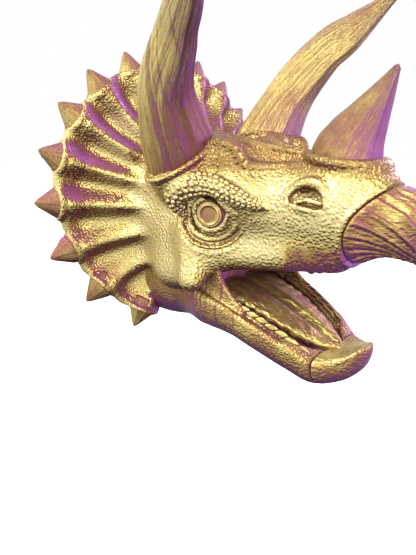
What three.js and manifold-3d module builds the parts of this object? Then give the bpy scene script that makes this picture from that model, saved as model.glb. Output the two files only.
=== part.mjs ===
// Display head of a horned dinosaur (triceratops) with its mouth open, made in printed plastic to hang on a wall.
// Millimetres. X runs forward from the wall, Y towards the animal's left, Z up.
// The origin is the centre of the flat back, where the neck meets the wall.

import * as THREE from 'three';
import { ParametricGeometry } from 'three/addons/geometries/ParametricGeometry.js';
import { mergeVertices } from 'three/addons/utils/BufferGeometryUtils.js';
import Module from 'manifold-3d';

const wasm = await Module();
wasm.setup();

// Driving dimensions
const GAP = 0.3; // clearance between touching pieces
const BLEND = 9; // radius over which the soft forms run into each other
const FRILL_RIM_RADIUS = 85.5;
const LOWER_RIM_INSET = 5; // the rim is this much nearer the middle on the lower half
const FRILL_FRONT_X = 38; // front face of the frill at its rim
const FRILL_THICKNESS = 7;
const FUNNEL_HEIGHT = 24; // how far the frill rises forward to meet the cheeks
const FUNNEL_INNER = 34;
const FUNNEL_OUTER = 74;
const RIB_HEIGHT = 2.8;
const LOBE_CURL = 20; // forward bend of the two lower lobes
const NOTCH_HALF_ANGLE = 17; // degrees either side of straight down
const NOTCH_RADIUS = 46;
const SPIKE_ANGLES = [0, 18, 34.7, 50.6, 67.7, 85.3, 106, 127.5, 149.7]; // degrees from straight up
const SPIKE_TIP_RADII = [95, 95.5, 96.6, 96.6, 96.4, 96, 94.5, 93.2, 92.5];
const SPIKE_BASE_RADIUS = 8.2;
const SPIKE_ROOT = 71; // radius at which a spike starts, inside the frill
const NECK_FRONT_X = 28;
const NECK_WALL_RADIUS = 44;
const EYE_CENTRE = [112, 32.3, 7.5];
const EYE_RADIUS = 9.5;
const EYE_LOOK = [0.5, 0.85, 0.14];
const BEAK_SEAM_X = 180;
const BEAK_SEAM_CURVE = 48; // the seam's side view is X = BEAK_SEAM_X + Z * Z / BEAK_SEAM_CURVE

// Small maths
const radians = (degrees) => (degrees * Math.PI) / 180;
const mix = (a, b, t) => a + (b - a) * t;
const clamp = (t, low, high) => Math.min(high, Math.max(low, t));

function smoothStep(low, high, value) {
  const t = clamp((value - low) / (high - low), 0, 1);
  return t * t * (3 - 2 * t);
}

function smoothMin(a, b, radius) {
  const overlap = Math.max(radius - Math.abs(a - b), 0) / radius;
  return Math.min(a, b) - overlap * overlap * radius * 0.25;
}

// Value at x of a smooth curve through stations [x, value, value, ...], one column at a time
function along(stations, x, column) {
  const last = stations.length - 1;
  let i = 0;
  while (i < last - 1 && x > stations[i + 1][0]) i += 1;
  const at = (j) => stations[clamp(j, 0, last)];
  const span = at(i + 1)[0] - at(i)[0];
  const t = clamp((x - at(i)[0]) / span, 0, 1);
  const slope = (j) => {
    const run = at(j + 1)[0] - at(j - 1)[0];
    return ((at(j + 1)[column] - at(j - 1)[column]) / run) * span;
  };
  const t2 = t * t;
  const t3 = t2 * t;
  return (
    (2 * t3 - 3 * t2 + 1) * at(i)[column] +
    (t3 - 2 * t2 + t) * slope(i) +
    (3 * t2 - 2 * t3) * at(i + 1)[column] +
    (t3 - t2) * slope(i + 1)
  );
}

// Solids from three.js geometry
function solid(geometry) {
  const bare = new THREE.BufferGeometry();
  const source = geometry.index ? geometry.toNonIndexed() : geometry;
  bare.setAttribute('position', source.getAttribute('position'));
  const merged = mergeVertices(bare, 1e-4);
  const index = merged.index.array;
  const kept = [];
  for (let i = 0; i < index.length; i += 3) {
    const [a, b, c] = [index[i], index[i + 1], index[i + 2]];
    if (a !== b && b !== c && c !== a) kept.push(a, b, c);
  }
  const made = (triangles) =>
    new wasm.Manifold(
      new wasm.Mesh({
        numProp: 3,
        vertProperties: merged.attributes.position.array,
        triVerts: new Uint32Array(triangles),
      }),
    );
  const body = made(kept);
  if (body.volume() > 0) return body;
  const turned = [];
  for (let i = 0; i < kept.length; i += 3) turned.push(kept[i], kept[i + 2], kept[i + 1]);
  return made(turned);
}

// A closed surface: u goes once round, v runs from one pole to the other
function closedSkin(pointAt, slices, stacks) {
  const point = (u, v, target) => {
    const [x, y, z] = pointAt(u === 1 ? 0 : u, v);
    target.set(x, y, z);
  };
  return solid(new ParametricGeometry(point, slices, stacks));
}

const mirrored = (body) => body.mirror([0, 1, 0]);

function largest(body) {
  return body.decompose().sort((a, b) => b.volume() - a.volume())[0];
}

// Blended forms of the head: distance-like fields, negative inside
function ellipsoidField([x, y, z], centre, radii) {
  const px = x - centre[0];
  const py = y - centre[1];
  const pz = z - centre[2];
  const near = Math.hypot(px / radii[0], py / radii[1], pz / radii[2]);
  const slope = Math.hypot(px / radii[0] ** 2, py / radii[1] ** 2, pz / radii[2] ** 2);
  return slope < 1e-9 ? -Math.min(...radii) : (near * (near - 1)) / slope;
}

function taperField([x, y, z], from, to, startRadius, endRadius) {
  const axis = to.map((value, i) => value - from[i]);
  const offset = [x - from[0], y - from[1], z - from[2]];
  const length2 = axis.reduce((sum, value) => sum + value * value, 0);
  const t = clamp(axis.reduce((sum, value, i) => sum + value * offset[i], 0) / length2, 0, 1);
  const away = Math.hypot(...offset.map((value, i) => value - axis[i] * t));
  return away - mix(startRadius, endRadius, t);
}

// Rounded masses of the upper head. Those with a side offset are repeated on the other side.
const MASSES = {
  cranium: { centre: [91, 0, 8], radii: [50, 36, 34.5] },
  brow: { centre: [106, 25, 17], radii: [32, 14, 13] },
  templeRoot: { centre: [66, 22, 4], radii: [26, 22, 34] },
  cheek: { centre: [88, 30, -16], radii: [28, 12, 22] },
  rearCheek: { centre: [76, 32, -29], radii: [20, 10, 17] },
  hornBoss: { centre: [89, 33, 24], radii: [20, 17, 13] },
  hornFront: { centre: [110, 25, 34], radii: [15, 12, 11] },
  noseBoss: { centre: [169, 0, 26], radii: [21, 17, 13] },
};
const TAPERS = {
  snout: { from: [112, 0, 9], to: [170, 0, 10], radii: [31, 23] },
  lip: { from: [110, 24, -18.5], to: [173, 11, -8.5], radii: [9, 8] },
  cheekRidge: { from: [98, 36, -8], to: [105, 43, -31], radii: [8, 4.6] },
  cheekEdge: { from: [78, 34, -33], to: [103, 41, -31], radii: [9, 5] },
  beakRoot: { from: [172, 0, 10], to: [198, 0, 9], radii: [19.5, 13.4] },
  beakHook: { from: [198, 0, 9], to: [214, 0, -3.5], radii: [12, 4] },
  beakTip: { from: [214, 0, -3.5], to: [220, 0, -13], radii: [3.6, 1.4] },
};
const SOCKETS = {
  eye: { centre: [113, 46, 7], radii: [15, 10, 10.5] },
  temple: { centre: [72, 58, 8], radii: [16, 15, 15] },
};

function upperField([x, y, z]) {
  const p = [x, Math.abs(y), z];
  let value = Infinity;
  for (const { centre, radii } of Object.values(MASSES)) {
    value = smoothMin(value, ellipsoidField(p, centre, radii), BLEND);
  }
  for (const { from, to, radii } of Object.values(TAPERS)) {
    value = smoothMin(value, taperField(p, from, to, radii[0], radii[1]), BLEND);
  }
  for (const { centre, radii } of Object.values(SOCKETS)) {
    value = -smoothMin(-value, ellipsoidField(p, centre, radii), 5);
  }
  return value;
}

// Height of the line inside the head from which its surface is measured outwards
const CORE = [
  [40, 2],
  [110, 4],
  [175, 8],
  [200, 6],
  [212, -2.5],
  [221.5, -14],
];

function upperSurface(inflate, slices, stacks) {
  const start = 46;
  const reach = 90;
  const end = 221.5;
  const pointAt = (u, v) => {
    const x = mix(start, end, v);
    const core = along(CORE, x, 1);
    if (v === 0 || v === 1) return [x + (v ? inflate : 0), 0, core];
    const angle = 2 * Math.PI * u;
    const [sy, sz] = [Math.sin(angle), Math.cos(angle)];
    let [low, high] = [0, reach];
    for (let i = 0; i < 22; i += 1) {
      const middle = (low + high) / 2;
      if (upperField([x, sy * middle, core + sz * middle]) < inflate) low = middle;
      else high = middle;
    }
    const radius = Math.max(low, 0.4);
    return [x, sy * radius, core + sz * radius];
  };
  return closedSkin(pointAt, slices, stacks);
}

// Point on the left side of the head at x and z, lifted off the skin
function onSkin(x, z, lift) {
  let [low, high] = [0, 80];
  for (let i = 0; i < 24; i += 1) {
    const middle = (low + high) / 2;
    if (upperField([x, middle, z]) < 0) low = middle;
    else high = middle;
  }
  return [x, low + lift, z];
}

// Frill: a shield round the head, ribbed towards its spikes, with a notch below for the throat
const TOP_TO_SPIKE = SPIKE_ANGLES.map((angle, i) => [angle, i]);

// Counts ribs from the top: a whole number on each spike
function ribIndex(degrees) {
  const side = Math.abs(((degrees + 540) % 360) - 180);
  const lastAngle = SPIKE_ANGLES.at(-1);
  if (side > lastAngle) return SPIKE_ANGLES.length - 1 + (side - lastAngle) / 22;
  return along(TOP_TO_SPIKE, side, 1);
}

function rimRadius(degrees) {
  const below = 180 - Math.abs(((degrees + 540) % 360) - 180);
  const scallop = 1.5 * Math.cos(2 * Math.PI * ribIndex(degrees));
  const notch = smoothStep(NOTCH_HALF_ANGLE - 5, NOTCH_HALF_ANGLE + 5, below);
  const inset = LOWER_RIM_INSET * (1 - smoothStep(80, 104, below));
  return mix(NOTCH_RADIUS, FRILL_RIM_RADIUS - inset - scallop, notch);
}

function frillFront(radius, degrees) {
  const side = Math.abs(((degrees + 540) % 360) - 180);
  const funnel = FUNNEL_HEIGHT * (1 - smoothStep(FUNNEL_INNER, FUNNEL_OUTER, radius));
  const rib = RIB_HEIGHT * smoothStep(38, 54, radius) * Math.cos(2 * Math.PI * ribIndex(degrees));
  const curl = LOBE_CURL * smoothStep(108, 155, side) * (radius / FRILL_RIM_RADIUS) ** 2;
  return FRILL_FRONT_X + funnel + rib + curl;
}

function frillBack(radius, degrees) {
  return mix(NECK_FRONT_X, frillFront(radius, degrees) - FRILL_THICKNESS, smoothStep(48, 62, radius));
}

// Point on the shield: share 0 is the front's centre, 1 the back's centre
function frillPoint(u, share) {
  const frontEnd = 6 / 11;
  const rimEnd = 8 / 11;
  const degrees = 360 * u;
  const edge = rimRadius(degrees);
  const inner = edge - FRILL_THICKNESS / 2;
  let radius;
  let x;
  if (share <= frontEnd) {
    radius = inner * (share / frontEnd);
    x = frillFront(radius, degrees);
  } else if (share < rimEnd) {
    const turn = (Math.PI * (share - frontEnd)) / (rimEnd - frontEnd);
    radius = inner + (FRILL_THICKNESS / 2) * Math.sin(turn);
    x = mix(frillFront(inner, degrees), frillBack(inner, degrees), (1 - Math.cos(turn)) / 2);
  } else {
    radius = inner * (1 - (share - rimEnd) / (1 - rimEnd));
    x = frillBack(radius, degrees);
  }
  const angle = radians(degrees);
  return [x, -radius * Math.sin(angle), radius * Math.cos(angle)];
}

// A cone with a raised collar, standing on the rim and pointing outwards
function spike(degrees, tipRadius) {
  const height = tipRadius - SPIKE_ROOT;
  const profile = [
    [0, 0],
    [SPIKE_BASE_RADIUS - 2, 0],
    [SPIKE_BASE_RADIUS + 0.8, 10.5],
    [SPIKE_BASE_RADIUS - 1, 13],
    [3.9, height - 5.5],
    [1.5, height - 0.8],
    [0, height],
  ].map(([r, h]) => new THREE.Vector2(r, h));
  const geometry = new THREE.LatheGeometry(profile, 7);
  const curl = LOBE_CURL * smoothStep(108, 155, degrees) * 0.9;
  const middle = FRILL_FRONT_X - FRILL_THICKNESS / 2 + curl;
  const angle = radians(degrees);
  const outwards = new THREE.Vector3(-0.05, -Math.sin(angle), Math.cos(angle)).normalize();
  const forward = new THREE.Vector3(1, 0, 0);
  const aside = new THREE.Vector3().crossVectors(outwards, forward).normalize();
  const upright = new THREE.Vector3().crossVectors(aside, outwards);
  const place = new THREE.Matrix4().makeBasis(aside, outwards, upright.multiplyScalar(0.85));
  place.setPosition(middle, -SPIKE_ROOT * Math.sin(angle), SPIKE_ROOT * Math.cos(angle));
  return solid(geometry.applyMatrix4(place));
}

function frill() {
  let body = closedSkin(frillPoint, 74, 11);
  SPIKE_ANGLES.forEach((angle, i) => {
    const made = spike(angle, SPIKE_TIP_RADII[i]);
    body = body.add(made);
    if (angle > 0) body = body.add(mirrored(made));
  });
  return body;
}

// A tapered horn: oval rings across a curve
function horn(curve, shapeAt, inflate, slices, stacks) {
  const side = new THREE.Vector3(0, 1, 0);
  const pointAt = (u, v) => {
    const centre = curve.getPoint(v);
    if (v === 0 || v === 1) {
      const tangent = curve.getTangent(v).multiplyScalar(v ? inflate : -inflate);
      return centre.add(tangent).toArray();
    }
    const tangent = curve.getTangent(v);
    const across = side.clone().addScaledVector(tangent, -side.dot(tangent)).normalize();
    const fore = new THREE.Vector3().crossVectors(across, tangent);
    const [radius, oval] = shapeAt(v);
    const angle = 2 * Math.PI * u;
    centre.addScaledVector(fore, (radius * oval + inflate) * Math.cos(angle));
    centre.addScaledVector(across, (radius / oval + inflate) * Math.sin(angle));
    return centre.toArray();
  };
  return closedSkin(pointAt, slices, stacks);
}

// Points along the middle of a horn: x, y, z, mean radius, and how much longer the section is front to back
const BROW_HORN = [
  [87, 29, 21, 14, 1.05],
  [87.6, 33, 31, 20.3, 1.03],
  [95, 48, 64.6, 14.5, 1.09],
  [112.5, 54.8, 88, 9.2, 1.35],
  [127, 61, 99.5, 7, 1.4],
  [146.8, 74, 118.5, 1.6, 1.2],
];
const NOSE_HORN = [
  [166, 0, 24, 14, 1.08],
  [167.5, 0, 36, 15.6, 1.1],
  [170.5, 0, 44, 12.8, 1.1],
  [174.8, 0, 52, 9.2, 1.1],
  [180.2, 0, 62, 5.2, 1.06],
  [185.3, 0, 72, 1.3, 1],
];
const lineOf = (stations) =>
  new THREE.CatmullRomCurve3(stations.map(([x, y, z]) => new THREE.Vector3(x, y, z)));

function hornFrom(stations, inflate, slices, stacks) {
  const share = (station, i) => i / (stations.length - 1);
  const knots = stations.map((station, i) => [share(station, i), station[3], station[4]]);
  const shape = (v) => [along(knots, v, 1), along(knots, v, 2)];
  return horn(lineOf(stations), shape, inflate, slices, stacks);
}

const browHorn = (inflate) => hornFrom(BROW_HORN, inflate, 14, 13);
const noseHorn = (inflate) => hornFrom(NOSE_HORN, inflate, 14, 8);

// A round bar along points, for folds, lids and brows
function roll(points, radii, slices, stacks) {
  const curve = new THREE.CatmullRomCurve3(points.map((p) => new THREE.Vector3(...p)));
  const knots = radii.map((r, i) => [i / (radii.length - 1), r]);
  return horn(curve, (v) => [along(knots, v, 1), 1], 0, slices, stacks);
}

// Eye: a ball with a raised ring round a sunken flat pupil. With a clearance it is the space the eye needs.
const LOOK = new THREE.Vector3(...EYE_LOOK).normalize();

function eye(clearance) {
  const ball = EYE_RADIUS + clearance;
  const ring = 6.5 + clearance;
  const back = [180, 150, 120, 90, 64].map((degrees) => [
    ball * Math.sin(radians(degrees)),
    ball * Math.cos(radians(degrees)),
  ]);
  const front = clearance
    ? [[ring, 6.8], [ring, 9.3 + clearance]]
    : [[ring, 6.8], [ring, 8.6], [5.3, 9.3], [4.4, 8]];
  const profile = [...back, ...front, [0, front.at(-1)[1]]];
  profile[0][0] = 0;
  const geometry = new THREE.LatheGeometry(profile.map(([r, h]) => new THREE.Vector2(r, h)), 14);
  const turn = new THREE.Quaternion().setFromUnitVectors(new THREE.Vector3(0, 1, 0), LOOK);
  return solid(geometry.applyQuaternion(turn).translate(...EYE_CENTRE));
}

// Arc of a ring round the eye, from one angle to another, standing proud of the socket
function lid(ringRadius, barRadius, fromDegrees, toDegrees, lift) {
  const across = new THREE.Vector3(0, 0, 1).cross(LOOK).normalize();
  const upwards = new THREE.Vector3().crossVectors(LOOK, across);
  const points = [];
  const steps = 6;
  for (let i = 0; i <= steps; i += 1) {
    const angle = radians(mix(fromDegrees, toDegrees, i / steps));
    const p = new THREE.Vector3(...EYE_CENTRE)
      .addScaledVector(LOOK, lift)
      .addScaledVector(across, -ringRadius * Math.cos(angle))
      .addScaledVector(upwards, ringRadius * Math.sin(angle));
    points.push(p.toArray());
  }
  const radii = points.map((_, i) => barRadius * mix(0.45, 1, Math.sin((Math.PI * i) / steps)));
  return roll(points, radii, 5, 6);
}

// Seam between skin and beak, a curved wall across the snout
function seamBlock(shift) {
  const outline = new THREE.Shape();
  const seamAt = (z) => BEAK_SEAM_X + (z * z) / BEAK_SEAM_CURVE + shift;
  outline.moveTo(300, -45);
  for (let z = -45; z <= 45; z += 3) outline.lineTo(seamAt(z), z);
  outline.lineTo(300, 45);
  const geometry = new THREE.ExtrudeGeometry(outline, { depth: 80, bevelEnabled: false, steps: 1 });
  geometry.translate(0, 0, -40);
  geometry.rotateX(Math.PI / 2);
  return solid(geometry);
}

// Lower jaw stations: x, height of the lip, height of the underside, half width
const JAW = [
  [69, -28, -64, 24],
  [80, -31, -71, 31],
  [93, -34, -73, 35.5],
  [104, -36, -71.5, 37.2],
  [123, -39.8, -70, 36.4],
  [140, -45, -73.5, 33.8],
  [158, -52.5, -78, 29],
  [171, -60, -80.8, 23.5],
  [182, -58.5, -76, 15.5],
  [189, -54, -68, 8],
  [192.5, -53, -60, 3],
];

function jawSection(x, angle, inflate) {
  const top = along(JAW, x, 1) + inflate;
  const bottom = along(JAW, x, 2) - inflate;
  const halfWidth = along(JAW, x, 3) + inflate;
  const waist = mix(top, bottom, 0.3);
  const [c, s] = [Math.cos(angle), Math.sin(angle)];
  const square = s > 0 ? 4.5 : 2.3;
  const size = (Math.abs(c) ** square + Math.abs(s) ** square) ** (-1 / square);
  return [x, halfWidth * size * c, waist + size * s * (s > 0 ? top - waist : waist - bottom)];
}

function jawSkin(inflate, slices, stacks) {
  const pointAt = (u, v) => {
    const x = mix(JAW[0][0] - inflate, JAW.at(-1)[0] + inflate, v);
    const inside = clamp(x, JAW[0][0], JAW.at(-1)[0]);
    if (v === 0 || v === 1) {
      return [x, 0, mix(along(JAW, inside, 1), along(JAW, inside, 2), 0.3)];
    }
    return jawSection(x, 2 * Math.PI * u, inflate);
  };
  return closedSkin(pointAt, slices, stacks);
}

// Hollow of the mouth between the lips, deeper at the back
function mouthHollow() {
  const [start, end] = [97, 174];
  const pointAt = (u, v) => {
    const x = mix(start, end, v);
    const top = along(JAW, x, 1);
    const halfWidth = (along(JAW, x, 3) - 5) * Math.min(1, Math.sqrt(4 * (1 - v)));
    const depth = mix(15, 6, v);
    if (v === 0 || v === 1) return [x, 0, top];
    const angle = 2 * Math.PI * u;
    const [c, s] = [Math.cos(angle), Math.sin(angle)];
    const size = (Math.abs(c) ** 3 + Math.abs(s) ** 3) ** (-1 / 3);
    return [x, halfWidth * size * c, top + size * s * (s > 0 ? 12 : depth)];
  };
  return closedSkin(pointAt, 20, 12);
}

// Leaf-shaped teeth in a row inside the lip
function toothRow() {
  const count = 11;
  const [start, end] = [112, 167];
  let row = null;
  for (let i = 0; i < count; i += 1) {
    const x = mix(start, end, i / (count - 1));
    const halfWidth = along(JAW, x, 3);
    const top = along(JAW, x, 1);
    const size = mix(3.4, 2.6, i / (count - 1));
    const tooth = new THREE.ConeGeometry(size, 9, 4);
    tooth.rotateX(radians(12));
    tooth.translate(x, halfWidth - 6.2, top - 4.6);
    row = row ? row.add(solid(tooth)) : solid(tooth);
  }
  return row;
}

// Tongue stations: x, height of its edge, half width, thickness
const TONGUE = [
  [100, -41, 20, 11],
  [120, -44, 19.5, 11],
  [140, -49, 17, 10],
  [158, -55, 12.5, 9],
  [170, -59.5, 7, 7],
  [176.5, -60, 1.5, 3],
];

function tongue(inflate) {
  const [start, end] = [TONGUE[0][0], TONGUE.at(-1)[0]];
  const pointAt = (u, v) => {
    const x = mix(start - inflate, end + inflate, v);
    const inside = clamp(x, start, end);
    const edge = along(TONGUE, inside, 1);
    const halfWidth = along(TONGUE, inside, 2) + inflate;
    const thickness = along(TONGUE, inside, 3) + inflate;
    if (v === 0 || v === 1) return [x, 0, edge - thickness * 0.4];
    const angle = 2 * Math.PI * u;
    const [c, s] = [Math.cos(angle), Math.sin(angle)];
    const crown = 3.2 + inflate - 3 * Math.exp(-(((c * halfWidth) / 4) ** 2));
    return [x, halfWidth * c, edge + s * (s > 0 ? crown : thickness)];
  };
  return closedSkin(pointAt, 18, 10);
}

// Throat stations, from under the cheeks back between the frill's lower lobes
const THROAT = [
  [33, -24, -75, 37],
  [50, -16, -77, 37],
  [66, -12, -75, 35],
  [82, -14, -70, 31],
  [96, -22, -63, 24],
  [104, -32, -50, 12],
];

function throat() {
  const [start, end] = [THROAT[0][0], THROAT.at(-1)[0]];
  const pointAt = (u, v) => {
    const x = mix(start, end, v);
    const top = along(THROAT, x, 1);
    const bottom = along(THROAT, x, 2);
    const middle = (top + bottom) / 2;
    if (v === 0 || v === 1) return [x, 0, middle];
    const angle = 2 * Math.PI * u;
    const [c, s] = [Math.cos(angle), Math.sin(angle)];
    const size = (Math.abs(c) ** 2.5 + Math.abs(s) ** 2.5) ** (-1 / 2.5);
    return [x, along(THROAT, x, 3) * size * c, middle + ((top - bottom) / 2) * size * s];
  };
  return closedSkin(pointAt, 20, 9);
}

// Neck behind the frill, flat where it meets the wall
function neck() {
  const front = NECK_FRONT_X - GAP;
  const profile = [
    [0, 0],
    [NECK_WALL_RADIUS, 0],
    [NECK_WALL_RADIUS, 4],
    [NECK_WALL_RADIUS - 2, 10],
    [NECK_WALL_RADIUS - 2, 20],
    [NECK_WALL_RADIUS, front],
    [0, front],
  ].map(([r, h]) => new THREE.Vector2(r, h));
  const geometry = new THREE.LatheGeometry(profile, 36);
  geometry.rotateZ(-Math.PI / 2);
  return solid(geometry);
}

// Halves of a mirrored pair
const both = (body) => body.add(mirrored(body));

function headBody(frillBody, upper) {
  const browLine = [
    [92.5, 3, 0.5],
    [92, 11, 1.5],
    [98, 19.5, 1],
    [108, 23, 0],
    [121, 22, 0.5],
    [138, 18.5, -0.5],
  ];
  const brow = roll(browLine.map(([x, z, lift]) => onSkin(x, z, lift)), [2.4, 4.6, 5.2, 5, 4, 2], 7, 12);
  const hornCollar = new THREE.TorusGeometry(1, 0.13, 5, 18);
  const collarUp = new THREE.Vector3(-0.157, 0.519, 0.84).normalize();
  const turn = new THREE.Quaternion().setFromUnitVectors(new THREE.Vector3(0, 0, 1), collarUp);
  hornCollar.scale(21, 19, 19).applyQuaternion(turn).translate(89.5, 36.5, 34);
  const nostril = new THREE.SphereGeometry(1, 12, 8);
  nostril.scale(8.5, 5, 4.2).rotateY(radians(12)).translate(...onSkin(162.5, 18.5, 0.5));
  const rimLine = [
    [152, 18.5],
    [155.5, 24],
    [162.5, 26],
    [169.5, 23.5],
    [172.5, 16],
  ];
  const nostrilRim = roll(rimLine.map(([x, z]) => onSkin(x, z, -0.2)), [0.9, 2.3, 2.8, 2.4, 0.9], 6, 9);
  const sockets = [lid(9.2, 2.6, 10, 190, 5.6), lid(9.4, 2.2, 185, 350, 5.4)];
  sockets.push(lid(13, 1.9, 195, 335, 3.2));
  let body = upper.subtract(seamBlock(-GAP / 2));
  for (const form of [brow, solid(hornCollar), nostrilRim]) body = body.add(both(form));
  body = body.subtract(both(eye(GAP)));
  for (const form of sockets) body = body.add(both(form.subtract(eye(GAP))));
  body = body.subtract(both(solid(nostril)));
  body = body.subtract(both(browHorn(GAP))).subtract(noseHorn(GAP));
  return largest(body.subtract(frillBody.translate([GAP, 0, 0])).subtract(frillBody));
}

// Assembly
const printed = {
  skin: { color: 0xc8ab52, roughness: 0.34, metalness: 0.45 },
  horn: { color: 0xb9905a, roughness: 0.32, metalness: 0.45 },
  beak: { color: 0xa8764f, roughness: 0.34, metalness: 0.45 },
  mouth: { color: 0x8f6a3c, roughness: 0.28, metalness: 0.45 },
};
const materials = Object.fromEntries(
  Object.entries(printed).map(([name, look]) => [name, new THREE.MeshStandardMaterial(look)]),
);

function mesh(name, body, material) {
  const data = body.getMesh();
  const vertices = new Float32Array(data.numVert * 3);
  for (let i = 0; i < data.numVert; i += 1) {
    vertices.set(data.vertProperties.subarray(i * data.numProp, i * data.numProp + 3), i * 3);
  }
  const geometry = new THREE.BufferGeometry();
  geometry.setAttribute('position', new THREE.BufferAttribute(vertices, 3));
  geometry.setIndex(new THREE.BufferAttribute(data.triVerts, 1));
  const made = new THREE.Mesh(geometry, materials[material]);
  made.name = name;
  return made;
}

const frillBody = frill();
const upper = upperSurface(0, 30, 32);
const upperGrown = upperSurface(GAP * 1.3, 30, 32);
const head = headBody(frillBody, upper);
const upperBeak = largest(upper.intersect(seamBlock(GAP / 2)).subtract(noseHorn(GAP)));

const jawFull = jawSkin(0, 24, 20)
  .subtract(mouthHollow())
  .add(both(toothRow()))
  .subtract(upperGrown)
  .subtract(tongue(GAP));
const jawSeam = solid(new THREE.BoxGeometry(60, 80, 60).rotateY(radians(8)).translate(201, 0, -70));
const lowerJaw = largest(jawFull.subtract(jawSeam));
const lowerBeak = largest(jawFull.intersect(jawSeam.translate([GAP, 0, 0])));
const throatBody = largest(
  throat()
    .subtract(jawSkin(GAP * 1.3, 24, 20))
    .subtract(upperGrown)
    .subtract(frillBody.translate([GAP, 0, 0]))
    .subtract(frillBody)
    .subtract(solid(new THREE.BoxGeometry(60, 200, 200).translate(NECK_FRONT_X - 30 + 6, 0, 0))),
);

const model = new THREE.Group();
model.add(mesh('frill', frillBody, 'skin'));
model.add(mesh('neck', neck(), 'skin'));
model.add(mesh('head', head, 'skin'));
model.add(mesh('throat', throatBody, 'skin'));
model.add(mesh('upper_beak', upperBeak, 'beak'));
model.add(mesh('lower_jaw', lowerJaw, 'skin'));
model.add(mesh('lower_beak', lowerBeak, 'beak'));
model.add(mesh('tongue', tongue(0), 'mouth'));
model.add(mesh('nose_horn', noseHorn(0), 'horn'));
for (const [side, place] of [['left', (b) => b], ['right', mirrored]]) {
  model.add(mesh(`brow_horn_${side}`, place(browHorn(0)), 'horn'));
  model.add(mesh(`eye_${side}`, place(eye(0)), 'skin'));
}

export default model;
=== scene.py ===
import math

import bpy
import numpy as np
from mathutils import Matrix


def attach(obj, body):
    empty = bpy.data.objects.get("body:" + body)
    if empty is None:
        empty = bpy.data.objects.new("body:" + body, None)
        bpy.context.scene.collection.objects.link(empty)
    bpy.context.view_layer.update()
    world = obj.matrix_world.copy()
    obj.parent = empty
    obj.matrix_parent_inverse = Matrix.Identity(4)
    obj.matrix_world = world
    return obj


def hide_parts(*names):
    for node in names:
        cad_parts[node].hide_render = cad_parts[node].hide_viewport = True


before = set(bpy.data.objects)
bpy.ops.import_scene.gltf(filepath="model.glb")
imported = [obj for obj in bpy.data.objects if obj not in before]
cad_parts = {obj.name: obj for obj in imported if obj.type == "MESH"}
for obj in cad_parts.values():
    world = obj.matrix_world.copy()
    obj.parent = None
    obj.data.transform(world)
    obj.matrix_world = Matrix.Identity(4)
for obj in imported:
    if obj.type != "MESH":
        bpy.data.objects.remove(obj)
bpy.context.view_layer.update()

import openvdb
from mathutils import Matrix, Vector

# Triceratops head printed in two-colour silk plastic, hung on a wall by its flat back.
# Forms are worked out in millimetres and turned to metres when their mesh is made.
# X runs forward from the wall, Y towards the animal's left, Z up.

MM = 0.001


def unit(vector):
    return np.array(vector) / np.linalg.norm(vector)


# Sizes of the frill, in millimetres and degrees. Angles run from the top down either side.
RIM_RADIUS = 85.5
LOWER_RIM_INSET = 5
FRONT_X = 38
BACK_X = 28
THICKNESS = 7
FUNNEL_HEIGHT = 24
RIB_HEIGHT = 3.9
LOBE_CURL = 20
NOTCH_HALF_ANGLE = 17
NOTCH_RADIUS = 46
FUNNEL_RADII = (34, 74)
RIB_RADII = (36, 54)
RIB_FADE_RADII = (70, 84)
CURL_ANGLES = (108, 155)
INSET_ANGLES = (80, 104)
SPIKE_ANGLES = [0, 18, 34.7, 50.6, 67.7, 85.3, 106, 127.5, 149.7]
SPIKE_TIPS = [95, 95.5, 96.6, 96.6, 96.4, 96, 94.5, 93.2, 92.5]
SPIKE_BASE = 8.6

# Rounded masses of the head: centre and radii. Those off the middle are on both sides.
MASSES = {
    "cranium": ((91, 0, 8), (50, 36, 34.5)),
    "brow": ((106, 25, 17), (32, 14, 13)),
    "temple root": ((66, 22, 4), (26, 22, 34)),
    "cheek": ((88, 30, -16), (28, 12, 22)),
    "rear cheek": ((76, 32, -29), (20, 10, 17)),
    "horn boss": ((89, 33, 24), (20, 17, 13)),
    "horn front": ((110, 25, 34), (15, 12, 11)),
    "nose boss": ((169, 0, 26), (21, 17, 13)),
}
TAPERS = {
    "snout": ((112, 0, 9), (170, 0, 10), (31, 23)),
    "lip": ((110, 24, -18.5), (173, 11, -8.5), (9, 8)),
    "cheek ridge": ((98, 36, -8), (105, 43, -31), (8, 4.6)),
    "cheek edge": ((78, 34, -33), (103, 41, -31), (9, 5)),
    "beak root": ((172, 0, 10), (198, 0, 9), (19.5, 13.4)),
    "beak hook": ((198, 0, 9), (214, 0, -3.5), (12, 4)),
    "beak tip": ((214, 0, -3.5), (220, 0, -13), (3.6, 1.4)),
}
SOCKETS = {
    "eye": ((113, 46, 7), (15, 10, 10.5)),
    "temple": ((72, 58, 8), (16, 15, 15)),
}
BLEND = 9

# Beak seam in side view: x = SEAM_X + z * z / SEAM_CURVE
SEAM_X = 180
SEAM_CURVE = 48

# Lower jaw: x, height of the lip, height of the underside, half width
JAW = [
    (69, -28, -64, 24), (80, -31, -71, 31), (93, -34, -73, 35.5), (104, -36, -71.5, 37.2),
    (123, -39.8, -70, 36.4), (140, -45, -73.5, 33.8), (158, -52.5, -78, 29),
    (171, -60, -80.8, 23.5), (182, -58.5, -76, 15.5), (189, -54, -68, 8), (192.5, -53, -60, 3),
]
THROAT = [
    (33, -24, -75, 37), (50, -16, -77, 37), (66, -12, -75, 35), (82, -14, -70, 31),
    (96, -22, -63, 24), (104, -32, -50, 12),
]
TONGUE = [
    (96, -41, 18, 10), (108, -41.5, 20, 11), (120, -44, 19.5, 11), (140, -49, 17, 10),
    (158, -55, 12.5, 9), (170, -59.5, 7, 7), (176.5, -60, 1.5, 3),
]

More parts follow.
